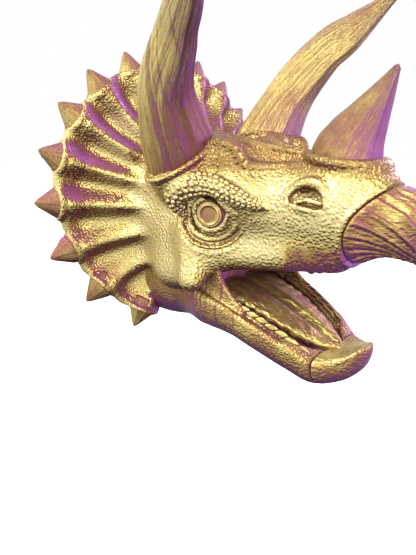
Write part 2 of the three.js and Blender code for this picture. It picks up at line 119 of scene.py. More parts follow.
# Horns: x, y, z, mean radius, and how much longer the section is front to back
BROW_HORN = [
    (87, 29, 21, 14, 1.05), (87.6, 33, 31, 20.3, 1.03), (95, 48, 64.6, 14.5, 1.09),
    (112.5, 54.8, 88, 9.2, 1.35), (127, 61, 99.5, 7, 1.4), (146.8, 74, 118.5, 1.6, 1.2),
]
NOSE_HORN = [
    (166, 0, 24, 14, 1.08), (167.5, 0, 36, 15.6, 1.1), (170.5, 0, 44, 12.8, 1.1),
    (174.8, 0, 52, 9.2, 1.1), (180.2, 0, 62, 5.2, 1.06), (185.3, 0, 72, 1.3, 1),
]

# Left eye: its middle, and the directions it looks in, forward and up across it
EYE = np.array([112, 32.3, 6.8])
LOOK = unit([0.47, 0.87, -0.05])
FORWARD = unit(np.cross(LOOK, [0, 0, 1]))
UPWARD = np.cross(LOOK, -FORWARD)

# Creases under the eye: distance from its middle, and height off the skin
FOLD_RADII = [9.4, 10.4, 11.8, 13.4, 15.0, 16.8, 18.6, 20.0, 21.4, 23.4]
FOLD_HEIGHTS = [0, 0.5, -0.6, 0.9, 0.8, -1.4, 0.9, -0.4, 0.6, 0]

# Brow fold: x, z, lift off the skin, radius
BROW = [
    (99.5, 4, 0.3, 2.4), (95.5, 8, 2.2, 4.2), (98, 14.5, 3.0, 5.2), (106, 20.3, 2.8, 5.4),
    (117, 22, 2.2, 5.1), (127, 18.8, 1.4, 4.5), (136, 14.6, 0.3, 3.2), (143, 12, -0.8, 1.4),
]

# Folds and furrows of the forehead, seen from above: x, y, radius
OUTER_FOLD = [(110, 34, 1.4), (118, 32, 2.3), (126, 26.5, 2.5), (134, 20.5, 2.3), (144, 16, 1.4)]
INNER_FOLD = [(104, 22, 1.8), (112, 13, 2.6), (122, 8, 2.6), (134, 5, 2.3), (147, 4, 1.4)]
HOLLOW = [
    (114, 26, 2.4), (119, 22.5, 3.8), (124, 18.5, 4.6), (131, 14, 5.0), (139, 10.5, 4.2), (147, 9, 2.0),
]
MIDDLE_FURROW = [(104, 0, 1.2), (112, 0, 2.4), (124, 0, 2.4), (138, 0, 1.2)]


# Small maths

def smooth_step(low, high, value):
    t = np.clip((value - low) / (high - low), 0, 1)
    return t * t * (3 - 2 * t)


def smooth_min(a, b, radius):
    overlap = np.maximum(radius - np.abs(a - b), 0) / radius
    return np.minimum(a, b) - overlap * overlap * radius * 0.25


def smooth_max(a, b, radius):
    return -smooth_min(-a, -b, radius)


def curve_through(points, count):
    """Evenly numbered samples of a smooth curve through points of any number of columns."""
    rows = np.array(points, float)
    padded = np.vstack([2 * rows[0] - rows[1], rows, 2 * rows[-1] - rows[-2]])
    samples = []
    for share in np.linspace(0, len(rows) - 1, count):
        i = min(int(share), len(rows) - 2)
        t = share - i
        a, b, c, d = padded[i:i + 4]
        square = (2 * a - 5 * b + 4 * c - d) * t ** 2
        cube = (3 * b - a - 3 * c + d) * t ** 3
        samples.append(0.5 * (2 * b + (c - a) * t + square + cube))
    return np.array(samples)


def along(stations, x, column):
    """Value of one column at x, on the smooth curve through the stations."""
    fine = curve_through(stations, 40 * len(stations))
    return np.interp(x, fine[:, 0], fine[:, column])


# Distances to simple forms: negative inside

def ellipsoid(p, centre, radii):
    q = [(a - c) / r for a, c, r in zip(p, centre, radii)]
    near = np.sqrt(q[0] ** 2 + q[1] ** 2 + q[2] ** 2) + 1e-6
    slope = np.sqrt(sum((a / r) ** 2 for a, r in zip(q, radii))) + 1e-9
    return near * (near - 1) / slope


def taper(p, start, end, radii):
    axis = [b - a for a, b in zip(start, end)]
    offset = [a - s for a, s in zip(p, start)]
    t = np.clip(sum(a * o for a, o in zip(axis, offset)) / sum(a * a for a in axis), 0, 1)
    away = np.sqrt(sum((o - a * t) ** 2 for a, o in zip(axis, offset)))
    return away - (radii[0] + (radii[1] - radii[0]) * t)


def tube(p, path):
    """A round bar along a path of x, y, z, radius."""
    value = None
    for a, b in zip(path[:-1], path[1:]):
        part = taper(p, a[:3], b[:3], (a[3], b[3]))
        value = part if value is None else np.minimum(value, part)
    return value


def ring(p, centre, normal, radius, bar, squeeze=1.0):
    """A torus round an axis, longer along x by squeeze."""
    offset = [a - c for a, c in zip(p, centre)]
    height = sum(a * n for a, n in zip(offset, normal))
    flat = [o - height * n for o, n in zip(offset, normal)]
    flat[0] = flat[0] / squeeze
    spread = np.sqrt(sum(a * a for a in flat))
    return np.sqrt((spread - radius) ** 2 + height ** 2) - bar


def oval_bar(p, stations, power, rise=0.5):
    """A long body whose section at each x is a rounded rectangle."""
    x, y, z = p
    flat_x = np.clip(x, stations[0][0], stations[-1][0])
    top = along(stations, flat_x, 1)
    bottom = along(stations, flat_x, 2)
    half_width = along(stations, flat_x, 3)
    waist = top + (bottom - top) * rise
    height = np.where(z > waist, top - waist, waist - bottom)
    corner = np.where(z > waist, power[0], power[1])
    reach = (np.abs(y / half_width) ** corner + np.abs((z - waist) / height) ** corner) ** (1 / corner)
    section = (reach - 1) * np.minimum(height, half_width)
    ends = np.maximum(stations[0][0] - x, x - stations[-1][0])
    return smooth_max(section, ends, 4)


# Upper head

def head_masses(p):
    value = None
    for centre, radii in MASSES.values():
        part = ellipsoid(p, centre, radii)
        value = part if value is None else smooth_min(value, part, BLEND)
    for start, end, radii in TAPERS.values():
        value = smooth_min(value, taper(p, start, end, radii), BLEND)
    for centre, radii in SOCKETS.values():
        value = smooth_max(value, -ellipsoid(p, centre, radii), 5)
    return value


def on_skin(x, z, lift=0.0):
    """Point on the left side of the head at x and z."""
    heights = np.linspace(0, 80, 801)
    inside = head_masses((np.full(801, x), heights, np.full(801, z))) < 0
    return np.array([x, heights[inside][-1] + lift, z])


def on_top(x, y, lift=0.0):
    """Point on the upper skin of the head at x and y."""
    heights = np.linspace(0, 70, 701)
    inside = head_masses((np.full(701, x), np.full(701, y), heights)) < 0
    return np.array([x, y, heights[inside][-1] + lift])


# Frill

def rib_index(side):
    """Counts ribs from the top, a whole number on each spike."""
    last = SPIKE_ANGLES[-1]
    fine = curve_through([(angle, i) for i, angle in enumerate(SPIKE_ANGLES)], 400)
    counted = np.interp(side, fine[:, 0], fine[:, 1])
    return np.where(side > last, len(SPIKE_ANGLES) - 1 + (side - last) / 22, counted)


def frill_front(radius, side):
    """X of the frill's front: a funnel to the neck, a rib for each spike, and lobes that curl forward."""
    funnel = FUNNEL_HEIGHT * (1 - smooth_step(*FUNNEL_RADII, radius))
    crest = np.cos(2 * np.pi * rib_index(side))
    rib = RIB_HEIGHT * smooth_step(*RIB_RADII, radius) * (crest + 0.18 * crest ** 2)
    curl = LOBE_CURL * smooth_step(*CURL_ANGLES, side) * (radius / RIM_RADIUS) ** 2
    return FRONT_X + funnel + rib * (1 - 0.35 * smooth_step(*RIB_FADE_RADII, radius)) + curl


def frill_skin(p):
    x, y, z = p
    radius = np.sqrt(y * y + z * z)
    side = np.degrees(np.arctan2(np.abs(y), z))
    below = 180 - side
    scallop = 1.5 * np.cos(2 * np.pi * rib_index(side))
    inset = LOWER_RIM_INSET * (1 - smooth_step(*INSET_ANGLES, below))
    notch = smooth_step(NOTCH_HALF_ANGLE - 5, NOTCH_HALF_ANGLE + 5, below)
    rim = NOTCH_RADIUS + (RIM_RADIUS - inset - scallop - NOTCH_RADIUS) * notch
    front = frill_front(radius, side)
    back = BACK_X + (front - THICKNESS - BACK_X) * smooth_step(48, 62, radius)
    plate = smooth_max(x - front, back - x, 2.0) * 0.8
    return smooth_max(plate, radius - rim, 5.5)


def spike_frame(angle):
    """Middle and outward direction of a spike on the left rim, and the rim's radius there."""
    turn = math.radians(angle)
    inset = LOWER_RIM_INSET * (1 - smooth_step(*INSET_ANGLES, 180 - angle))
    curl = LOBE_CURL * smooth_step(*CURL_ANGLES, angle) * 0.9
    outward = unit([-0.05, math.sin(turn), math.cos(turn)])
    middle = np.array([FRONT_X - THICKNESS / 2 + 1.0 + curl, 0, 0])
    return middle, outward, RIM_RADIUS + 1.5 - inset


# Sampling and meshing

# Faces that lie this nearly in one plane become one, so that no skin is too heavy to keep.
FLAT_MERGING = 0.008

# Distance given to samples before any form is worked out: outside all of them
FAR = 30.0


class Block:
    """Samples over a box, in millimetres, of the distance to a surface: negative inside it.

    Only the left half is worked out, and the right mirrors it. A form is joined, carved or raised
    inside its own small box, given as its low and high corners.
    """

    def __init__(self, low, high, step):
        self.step = step
        self.axes = [np.arange(start, end, step) for start, end in zip((low[0], 0, low[2]), high)]
        self.field = np.full([len(a) for a in self.axes], FAR, np.float32)

    def part(self, box):
        spans = [np.searchsorted(a, [low, high]) for a, low, high in zip(self.axes, *box)]
        cut = tuple(slice(a, b) for a, b in spans)
        x, y, z = [a[c].astype(np.float32) for a, c in zip(self.axes, cut)]
        return cut, (x[:, None, None], y[None, :, None], z[None, None, :])

    def whole(self):
        return self.part(([-np.inf] * 3, [np.inf] * 3))[1]

    def join(self, box, form, radius):
        cut, p = self.part(box)
        self.field[cut] = smooth_min(self.field[cut], form(p), radius)

    def carve(self, box, form, radius):
        cut, p = self.part(box)
        self.field[cut] = smooth_max(self.field[cut], -form(p), radius)

    def raised(self, box, height):
        cut, p = self.part(box)
        self.field[cut] -= height(p)

    def mesh(self, name):
        whole = np.concatenate([self.field[:, :0:-1, :], self.field], axis=1)
        limit = 3 * self.step
        grid = openvdb.FloatGrid(limit)
        grid.copyFromArray(np.clip(whole, -limit, limit).astype(np.float32), tolerance=0.0)
        points, triangles, quads = grid.convertToPolygons(isovalue=0.0, adaptivity=FLAT_MERGING)
        corner = np.array([self.axes[0][0], -self.axes[1][-1], self.axes[2][0]])
        points = (points * self.step + corner) * MM
        return mesh_from(name, *largest_surface(points, [quads.astype(int), triangles.astype(int)]))


def largest_surface(points, faces):
    """Leaves out specks: only the points and faces of the surface with the most points stay."""
    surface = np.arange(len(points))
    changed = True
    while changed:
        before = surface
        surface = surface.copy()
        for corners in faces:
            np.minimum.at(surface, corners, surface[corners].min(axis=1)[:, None])
        surface = surface[surface]
        changed = (surface != before).any()
    kept = surface == np.bincount(surface).argmax()
    place = np.cumsum(kept) - 1
    return points[kept], [tuple(f) for corners in faces for f in place[corners[kept[corners[:, 0]]]]]


def in_scene(name, data):
    made = bpy.data.objects.new(name, data)
    bpy.context.scene.collection.objects.link(made)
    return made


def mesh_from(name, points, faces):
    """Smooth-shaded mesh whose faces point outwards: its volume is made positive."""
    mesh = bpy.data.meshes.new(name)
    mesh.from_pydata([tuple(p) for p in points], [], faces)
    mesh.validate()
    mesh.calc_loop_triangles()
    corners = np.zeros(len(mesh.loop_triangles) * 3, int)
    mesh.loop_triangles.foreach_get("vertices", corners)
    a, b, c = np.array(points)[corners].reshape(-1, 3, 3).transpose(1, 0, 2)
    if np.einsum("ij,ij->i", a, np.cross(b, c)).sum() < 0:
        mesh.flip_normals()
    mesh.shade_smooth()
    return mesh


def piece(mesh, material, slot, *nodes):
    """A visible piece on the one body, in the place of the CAD nodes it shows in finer detail."""
    made = in_scene(mesh.name, mesh)
    if material:
        mesh.materials.append(material)
    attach(made, "root")
    if nodes:
        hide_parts(*nodes)


def closed_grid(name, rings, cap_start, cap_end):
    """Mesh of closed rings of points with a point at each end, and a map of round and along."""
    rings = np.array(rings)
    count, around = rings.shape[:2]
    points = list(rings.reshape(-1, 3)) + [cap_start, cap_end]
    faces = []
    for i in range(count - 1):
        for j in range(around):
            k = (j + 1) % around
            faces.append((i * around + j, i * around + k, (i + 1) * around + k, (i + 1) * around + j))
    for j in range(around):
        k = (j + 1) % around
        faces.append((count * around, k, j))
        faces.append((count * around + 1, (count - 1) * around + j, (count - 1) * around + k))
    mesh = mesh_from(name, np.array(points) * MM, faces)
    layer = mesh.uv_layers.new(name="wrap")
    indices = np.zeros(len(mesh.loops), int)
    mesh.loops.foreach_get("vertex_index", indices)
    row = np.minimum(indices // around, count - 1)
    turn = np.where(indices < count * around, indices % around, 0) / around
    for polygon in mesh.polygons:
        span = list(polygon.loop_indices)
        if max(turn[span]) > 0.75 and min(turn[span]) < 0.25:
            for i in span:
                if turn[i] < 0.25:
                    turn[i] += 1
    layer.data.foreach_set("uv", np.column_stack([turn, row / count]).astype(np.float32).ravel())
    return mesh


# Materials

# Colours of the thread as it turns from its gold side to its purple side
THREAD = [
    (0.0, "#D6C68E"), (0.33, "#CCB970"), (0.42, "#A0824C"), (0.49, "#865C46"),
    (0.57, "#844E50"), (0.66, "#944E7C"), (0.76, "#A85CAC"), (0.88, "#9A5AC6"),
    (1.0, "#7438A4"),
]
# Dark maroon painted on downward-facing walls as shade, and how strongly it is mixed in
UNDERSIDE_SHADE_COLOUR = "#4A2430"
UNDERSIDE_SHADE_STRENGTH = 0.6

# The thread twists in patches of this size, by up to this much either way
PATCH_MM = 14
PATCH_TURN = 0.3
LAYER_MM = 0.22

# Layers, in millimetres from the wall, whose thread lay turned over: first, last, how far
TURNED_LAYERS = [
    (93.5, 94.2, 0.5), (97.5, 101.0, 1.0), (103.0, 103.6, 0.6), (106.5, 107.2, 0.8),
    (110.5, 110.9, 0.4), (118.0, 119.2, 0.7), (131.0, 131.6, 0.4),
]
LAYER_EDGE_MM = 0.5
RAGGED_MM = 1.6

# Where the lower front of the snout turns purple, and where the top of the head turns brown
LIP_X_MM = (147, 156)
LIP_Z_MM = (7, -9)
CROWN_Z_MM = (21, 31)


def colour(hex_code):
    """sRGB hex to linear RGBA."""
    channels = [int(hex_code[i:i + 2], 16) / 255 for i in (1, 3, 5)]
    linear = [c / 12.92 if c <= 0.04045 else ((c + 0.055) / 1.055) ** 2.4 for c in channels]
    return (*linear, 1.0)


def add(tree, kind, settings=None, **links):
    """Adds a node, sets its properties, and links or sets its inputs by name, or as i0, i1 by number."""
    node = tree.nodes.new(kind)
    for key, value in (settings or {}).items():
        setattr(node, key, value)
    for key, value in links.items():
        number = key[1:] if key[0] == "i" else ""
        socket = node.inputs[int(number) if number.isdigit() else key.replace("_", " ")]
        if isinstance(value, bpy.types.NodeSocket):
            tree.links.new(value, socket)
        else:
            socket.default_value = value
    return node


def calculate(tree, operation, *values):
    inputs = {f"i{number}": value for number, value in enumerate(values)}
    return add(tree, "ShaderNodeMath", {"operation": operation}, **inputs).outputs[0]


def fade(tree, value, start, end, low=0.0, high=1.0, kind="SMOOTHSTEP"):
    """Goes from low to high as the value goes from start to end, and stays there past them."""
    ends = {"From_Min": start, "From_Max": end, "To_Min": low, "To_Max": high}
    return add(tree, "ShaderNodeMapRange", {"interpolation_type": kind}, Value=value, **ends).outputs[0]


def noise(tree, place, **settings):
    return add(tree, "ShaderNodeTexNoise", Vector=place, **settings).outputs["Fac"]


def colour_ramp(tree, share, stops):
    ramp = add(tree, "ShaderNodeValToRGB", Fac=share)
    elements = ramp.color_ramp.elements
    while len(elements) < len(stops):
        elements.new(0.5)
    for element, (position, value) in zip(elements, stops):
        element.position = position
        element.color = value
    return ramp.outputs["Color"]


def turned_layers(tree, x, patch):
    """How far the thread lies turned over in each layer from the wall, with ragged ends."""
    first = TURNED_LAYERS[0][0] - 2 * LAYER_EDGE_MM
    last = TURNED_LAYERS[-1][1] + 2 * LAYER_EDGE_MM
    ragged = calculate(tree, "MULTIPLY_ADD", patch, RAGGED_MM * MM, x)
    marks = []
    for start, end, strength in TURNED_LAYERS:
        marks += [(start - LAYER_EDGE_MM, 0.0), (start, strength)]
        marks += [(end, strength), (end + LAYER_EDGE_MM, 0.0)]
    stops = [((mark - first) / (last - first), (value, value, value, 1.0)) for mark, value in marks]
    return colour_ramp(tree, fade(tree, ragged, first * MM, last * MM, kind="LINEAR"), stops)


def silk_plastic(finish, relief, gold_side, turn=0, lip_turn=0, band=0, spread=1, sheen=0.72, crown=0):
    """Printed silk plastic whose thread is gold on one side and purple on the other.

    A wall goes from gold through brown to purple as it turns away from gold_side, and spread is how
    fast. turn moves all of it towards purple, lip_turn the lower front of the snout, and crown draws
    it towards brown above the brows. band is how strongly the turned layers show, and sheen how
    much the filler shines like metal.
    relief(tree, place) returns a height socket and the depth of the relief in millimetres.
    """
    material = bpy.data.materials.new("silk plastic, " + finish)
    material.use_nodes = True
    tree = material.node_tree
    tree.nodes.clear()
    place = add(tree, "ShaderNodeTexCoord").outputs["Object"]
    split = add(tree, "ShaderNodeSeparateXYZ", Vector=place)
    x, z = split.outputs["X"], split.outputs["Z"]

    # print layers stand square to X, drawn four layers at a time so that they show
    height, depth = relief(tree, place)
    waves = calculate(tree, "SINE", calculate(tree, "MULTIPLY", x, 2 * math.pi / (4 * LAYER_MM * MM)))
    layers = add(tree, "ShaderNodeBump", Strength=0.1, Distance=0.1 * MM, Height=waves).outputs[0]
    bump = add(tree, "ShaderNodeBump", Strength=1.0, Distance=depth * MM, Height=height, Normal=layers)
    normal = bump.outputs["Normal"]

    # how far the wall turns away from the gold side: -1 is full gold, 1 full purple
    away = [-part for part in gold_side]
    lean = add(tree, "ShaderNodeVectorMath", {"operation": "DOT_PRODUCT"}, i0=normal, i1=away)

    # the thread twists as it is laid: in patches, and over a few whole layers
    patch = noise(tree, place, Scale=1 / (PATCH_MM * MM), Detail=4.0, Roughness=0.65)
    twist = calculate(tree, "MULTIPLY_ADD", patch, 2 * PATCH_TURN, turn - PATCH_TURN)
    turned = calculate(tree, "MULTIPLY_ADD", lean.outputs["Value"], spread, twist)
    turned = calculate(tree, "MULTIPLY_ADD", turned_layers(tree, x, patch), band, turned)
    ahead, low = [[mm * MM for mm in span] for span in (LIP_X_MM, LIP_Z_MM)]
    lip = calculate(tree, "MULTIPLY", fade(tree, x, *ahead, 0.0, lip_turn), fade(tree, z, *low))
    turned = calculate(tree, "ADD", turned, lip)
    crowned = fade(tree, z, *[mm * MM for mm in CROWN_Z_MM], 1.0, 1.0 - crown)
    turned = calculate(tree, "MULTIPLY", turned, crowned)

    # painted shade: walls that face downwards are pushed towards the purple end and mixed with a dark
    # maroon, so that undersides look shaded
    facing = add(tree, "ShaderNodeSeparateXYZ", Vector=normal)
    painted_underside_shade = calculate(tree, "MULTIPLY", fade(tree, facing.outputs["Z"], -0.12, -0.7), UNDERSIDE_SHADE_STRENGTH)
    turned = calculate(tree, "ADD", turned, painted_underside_shade)
    share = fade(tree, turned, -1.0, 1.0, kind="LINEAR")
    thread = colour_ramp(tree, share, [(position, colour(code)) for position, code in THREAD])
    body = add(tree, "ShaderNodeMix", {"data_type": "RGBA"}, i0=painted_underside_shade, i6=thread, i7=colour(UNDERSIDE_SHADE_COLOUR))

    # the silk filler shows less on the purple side, and fine specks of it roughen the shine
    filler = fade(tree, share, 0.42, 0.62, sheen, sheen * 0.7, kind="LINEAR")
    speckle = noise(tree, place, Scale=1000 / 1.1, Detail=2.0)
    shader = add(
        tree, "ShaderNodeBsdfPrincipled", Base_Color=body.outputs[2], Metallic=filler,
        Roughness=fade(tree, speckle, 0.3, 0.7, 0.28, 0.42, kind="LINEAR"), Normal=normal, IOR=1.46,
    )
    add(tree, "ShaderNodeOutputMaterial", Surface=shader.outputs[0])
    return material


def scales(size_mm, depth_mm):
    """Rounded skin scales, close set, in rows that wander a little. The flat back is left plain."""
    def relief(tree, place):
        cells = add(tree, "ShaderNodeTexVoronoi", Vector=place, Scale=1000 / size_mm, Randomness=0.8)
        dome = fade(tree, cells.outputs["Distance"], 0.0, 0.7, 1.0, 0.0)
        wander = noise(tree, place, Scale=1000 / 6.0, Detail=2.0)
        soft = calculate(tree, "MULTIPLY_ADD", wander, 0.6, dome)
        split = add(tree, "ShaderNodeSeparateXYZ", Vector=place)
        off_wall = fade(tree, split.outputs["X"], 0.2 * MM, 1.2 * MM, kind="LINEAR")
        return calculate(tree, "MULTIPLY", soft, off_wall), depth_mm
    return relief


def grooves(around, lengthwise, depth_mm):
    """Fine grooves along a horn, set round its own wrap map so that they close on themselves."""
    def relief(tree, place):
        wrap = add(tree, "ShaderNodeUVMap", {"uv_map": "wrap"})
        split = add(tree, "ShaderNodeSeparateXYZ", Vector=wrap.outputs[0])
        angle = calculate(tree, "MULTIPLY", split.outputs["X"], 2 * math.pi)
        cosine = calculate(tree, "COSINE", angle)
        sine = calculate(tree, "SINE", angle)
        round_horn = add(tree, "ShaderNodeCombineXYZ", X=cosine, Y=sine, Z=split.outputs["Y"])
        pitch = (around / (2 * math.pi), around / (2 * math.pi), lengthwise)
        spread = add(tree, "ShaderNodeMapping", Vector=round_horn.outputs[0], Scale=pitch).outputs[0]
        return noise(tree, spread, Scale=1.0, Detail=5.0, Roughness=0.7, Distortion=0.5), depth_mm
    return relief


def streaks(stretch, pitch_mm, depth_mm):
    """Grooves that run forward along a beak."""
    def relief(tree, place):
        pitch = 1000 / pitch_mm
        pulled = add(tree, "ShaderNodeMapping", Vector=place, Scale=(pitch / stretch, pitch, pitch))
        place = pulled.outputs[0]
        return noise(tree, place, Scale=1.0, Detail=2.5, Roughness=0.55, Distortion=0.25), depth_mm
    return relief


# Pale gold over clear pebbles, each with its own spark, browner on top and purple at the lip
skin_material = silk_plastic(
    "scaled skin", scales(1.8, 0.38), (0.05, -1.0, -0.1),
    turn=-0.08, lip_turn=0.82, band=0.4, spread=0.85, crown=0.78,
)
# The brightest gold, on large smooth beads that each hold one soft highlight
brow_material = silk_plastic(
    "pebbled brow", scales(2.0, 0.2), (0.05, -1.0, -0.1), turn=-0.12, band=0.3,
)
# Gold ribs with purple in the furrows between them, under a fine grain
frill_material = silk_plastic(
    "finely scaled frill", scales(1.5, 0.3), (0.1, -0.8, -0.5), turn=0.03, band=0.4,
)
# Duller brownish gold with thin purple bands across the jaw. The dull brown tone and the purple on its
# downward-facing side are painted shade for the jaw lying under the cheek; the bands are the print's own
jaw_material_with_painted_shade = silk_plastic(
    "scaled jaw", scales(1.4, 0.32), (0.0, -0.65, 0.4), turn=0.3, band=0.35, spread=0.75,
)
# Olive brown with long dark grooves, purple on the side towards the snout. Its brown is painted shade: this
# near horn is drawn darker than its twin on the far side to stand for the dim room its smooth surface
# reflects
near_horn_with_painted_shade = silk_plastic(
    "grooved horn, browner", grooves(48, 6, 1.5), (-0.5, -0.82, 0.0),
    turn=-0.04, band=0.25, spread=0.42,
)
# Light gold that runs into brown and rose down the shaded edge
horn_far = silk_plastic(
    "grooved horn", grooves(52, 5, 2.2), (-0.25, -0.85, -0.45), turn=0.14, spread=0.85,
)
# Soft rose gold, with less shine than the brow horns
nose_material = silk_plastic(
    "grooved nose horn", grooves(48, 4, 1.2), (-0.62, -0.78, 0.0),
    turn=0.24, spread=0.5, sheen=0.45,
)
# Brown gold cones with a few fine grooves to the tip
spike_material = silk_plastic(
    "grooved spike", grooves(30, 3, 0.9), (0.1, -0.6, -0.8), turn=-0.02, spread=0.42,
)
# Gold and maroon streaks drawn out towards the tip
beak_material = silk_plastic(
    "streaked beak", streaks(20, 1.4, 0.8), (-0.3, -0.85, 0.1), turn=0.27, spread=0.6, sheen=0.6,
)
# The same streaks, broader and browner, on a rounder form
lower_beak_material = silk_plastic(
    "streaked lower beak", streaks(12, 1.6, 1.1), (-0.2, -0.6, 0.4),
    turn=0.16, spread=0.75, sheen=0.65,
)
# Dull gold folds with no scales, which look wet beside the skin
mouth_material = silk_plastic("smooth mouth", streaks(3, 4, 1.8), (0.1, -0.7, 0.1), spread=0.5)
# Bright gold rings on a smooth ball
eye_material = silk_plastic("ringed eye", streaks(1, 1.2, 0.12), (0.0, -1.0, 0.0), turn=0.25)
# A flat brown disc with little shine, so that the eye has a gaze
pupil_material = silk_plastic(
    "flat pupil", streaks(1, 1.2, 0.1), (0.0, -1.0, 0.0), turn=0.8, sheen=0.3,
)


# Skin of the head and frill

# Lids: distance from the eye's middle, thickness, first and last angle, height along the look, join
LIDS = [
    (8.7, 2.1, 10, 205, 6.0, 0.8), (12.0, 1.9, 45, 200, 4.6, 0.6),
    (8.5, 1.6, 170, 365, 6.0, 1.0),
]
FOLD_SWEEP = (186, 214, 322, 348)

# Groove between the brow fold and the eye: x, z, radius
UNDER_BROW = [
    (97.5, 4.5, 0.5), (100.5, 10.5, 1.8), (107, 14.8, 2.2),
    (116, 15.8, 2.2), (123, 12.5, 2.0), (128, 9, 0.8),
]

# Skin that rises round the foot of the brow horn, with a rolled edge
FOOT_MIDDLE = np.array([89.5, 36.6, 33.5])
FOOT_AXIS = unit([-0.157, 0.519, 0.84])
FOOT_RADII = (20.5, 21.5)
FOOT_EDGE = (21.3, 1.4)
NOSE_FOOT = ((167.6, 0, 34.5), (0.08, 0, 0.997), 16.6, 2.2, 1.08)

# Nostril: x, z, height off the skin, radius along its rim, its lower rim and the wall inside it
NOSTRIL = (162.8, 18.6, 0.6)
NOSTRIL_RADII = (10.2, 7.4, 5.6)
RIM = [
    (151.5, 18, -0.3, 0.8), (155.5, 23.4, -0.3, 2.0), (162.5, 25.4, -0.3, 2.5),
    (169.5, 23, -0.3, 2.1), (172.6, 15.8, -0.3, 0.9),
]
LOWER_RIM = [(153, 15.2, -0.4, 0.8), (161, 13.6, -0.2, 1.4), (170, 13.2, -0.4, 0.9)]
SEPTUM = [(155.5, 15.8, -2.6, 1.1), (162, 17.4, -2.2, 1.4), (169.5, 16.6, -2.0, 1.1)]

# Knobs along the lower lip by the beak: x, z, radius
LIP_KNOBS = [(172, -14.5, 2.0), (167, -16.5, 1.7), (162.5, -18.5, 1.5)]
LIP_KNOB_Y = 13.5
PALATE = ((140, 0, -27), (36, 15, 12))

# Boxes, low and high corner, that hold all of a form, so that only their points are worked out
EYE_BOX = (EYE - 24, EYE + 24)
FOOT_BOX = ((54, 4, 4), (124, 70, 62))
FOOT_EDGE_BOX = ((60, 10, 10), (120, 66, 62))
NOSE_FOOT_BOX = ((146, 0, 24), (190, 24, 46))
NOSTRIL_BOX = ((148, 10, 8), (176, 34, 30))
RIM_BOX = ((144, 8, 6), (180, 34, 34))
KNOB_BOX = ((154, 4, -26), (180, 26, -6))
PALATE_BOX = ((98, 0, -45), (178, 30, 0))
FOREHEAD_BOX = ((96, 0, 22), (172, 40, 54))


def head_and_frill(block, p):
    block.field[:] = smooth_min(head_masses(p), frill_skin(p), BLEND)


def near_eye(p):
    """Distance from the eye's axis, angle round it from the snout side, and height along its look."""
    offset = [a - c for a, c in zip(p, EYE)]
    out, fore, up = [sum(o * n for o, n in zip(offset, axis)) for axis in (LOOK, FORWARD, UPWARD)]
    return np.sqrt(fore ** 2 + up ** 2), np.degrees(np.arctan2(up, fore)) % 360, out


def lid(radius, bar, start, end, lift):
    def form(p):
        away, angle, out = near_eye(p)
        share = np.clip((angle - start) % 360 / (end - start), 0, 1)
        thick = bar * np.sqrt(np.maximum(np.sin(np.pi * share), 0))
        return np.sqrt((away - radius) ** 2 + (out - lift) ** 2) - thick
    return form


def eye_folds(p):
    """Creases that sweep under the eye, at growing distances from its middle."""
    away, angle, out = near_eye(p)
    rear, full, fading, front = FOLD_SWEEP
    below = smooth_step(rear, full, angle) * (1 - smooth_step(fading, front, angle))
    rise = np.interp(away, FOLD_RADII, FOLD_HEIGHTS)
    return rise * below * (out > -9)


def bar_on_skin(stations):
    """Path of x, y, z, radius on the left side of the head, from x, z, lift, radius."""
    return np.array([[*on_skin(x, z, lift), radius] for x, z, lift, radius in stations])


def eye_and_brow(block):
    block.carve(EYE_BOX, lambda p: ellipsoid(p, EYE + LOOK * 9.5 + UPWARD * 3, (15, 6, 12)), 2.5)
    block.carve(EYE_BOX, lambda p: ellipsoid(p, EYE + LOOK * 2.5, (8.8, 8.8, 8.8)), 1.0)
    for *sizes, join in LIDS:
        block.join(EYE_BOX, lid(*sizes), join)
    block.raised(EYE_BOX, eye_folds)
    brow = bar_on_skin(curve_through(BROW, 22))
    block.join((brow.min(0)[:3] - 9, brow.max(0)[:3] + 9), lambda p: tube(p, brow), 1.6)
    recess = bar_on_skin([(x, z, 0.6, radius) for x, z, radius in curve_through(UNDER_BROW, 22)])
    block.carve(EYE_BOX, lambda p: tube(p, recess), 1.2)


def horn_feet(block):
    def skirt(p):
        above = sum((a - c) * n for a, c, n in zip(p, FOOT_MIDDLE, FOOT_AXIS))
        cone = taper(p, FOOT_MIDDLE - FOOT_AXIS * 7, FOOT_MIDDLE + FOOT_AXIS * 4, FOOT_RADII)
        return smooth_max(cone, above, 1.2)

    block.join(FOOT_BOX, skirt, 5.0)
    block.join(FOOT_EDGE_BOX, lambda p: ring(p, FOOT_MIDDLE, FOOT_AXIS, *FOOT_EDGE), 1.5)
    block.join(NOSE_FOOT_BOX, lambda p: ring(p, *NOSE_FOOT), 3.0)


def forehead(block):
    """Lengthwise folds between the horns, and the hollow in front of each brow horn."""
    for fold, lift in ((OUTER_FOLD, 0.4), (INNER_FOLD, 0.5)):
        bar = np.array([[*on_top(x, y, lift), radius] for x, y, radius in curve_through(fold, 18)])
        block.join(FOREHEAD_BOX, lambda p: tube(p, bar), 2.2)
    for furrow in (HOLLOW, MIDDLE_FURROW):
        stations = curve_through(furrow, 18)
        cut = np.array([[*on_top(x, y, radius * 0.35), radius] for x, y, radius in stations])
        block.carve(FOREHEAD_BOX, lambda p: tube(p, cut), 2.5)


def nostril(block):
    septum = bar_on_skin(SEPTUM)
    rim = curve_through(bar_on_skin(RIM), 14)
    lower_rim = bar_on_skin(LOWER_RIM)
    block.carve(NOSTRIL_BOX, lambda p: ellipsoid(p, on_skin(*NOSTRIL), NOSTRIL_RADII), 1.0)
    block.join(NOSTRIL_BOX, lambda p: tube(p, septum), 1.0)
    block.join(RIM_BOX, lambda p: tube(p, rim), 1.6)
    block.join(RIM_BOX, lambda p: tube(p, lower_rim), 1.4)


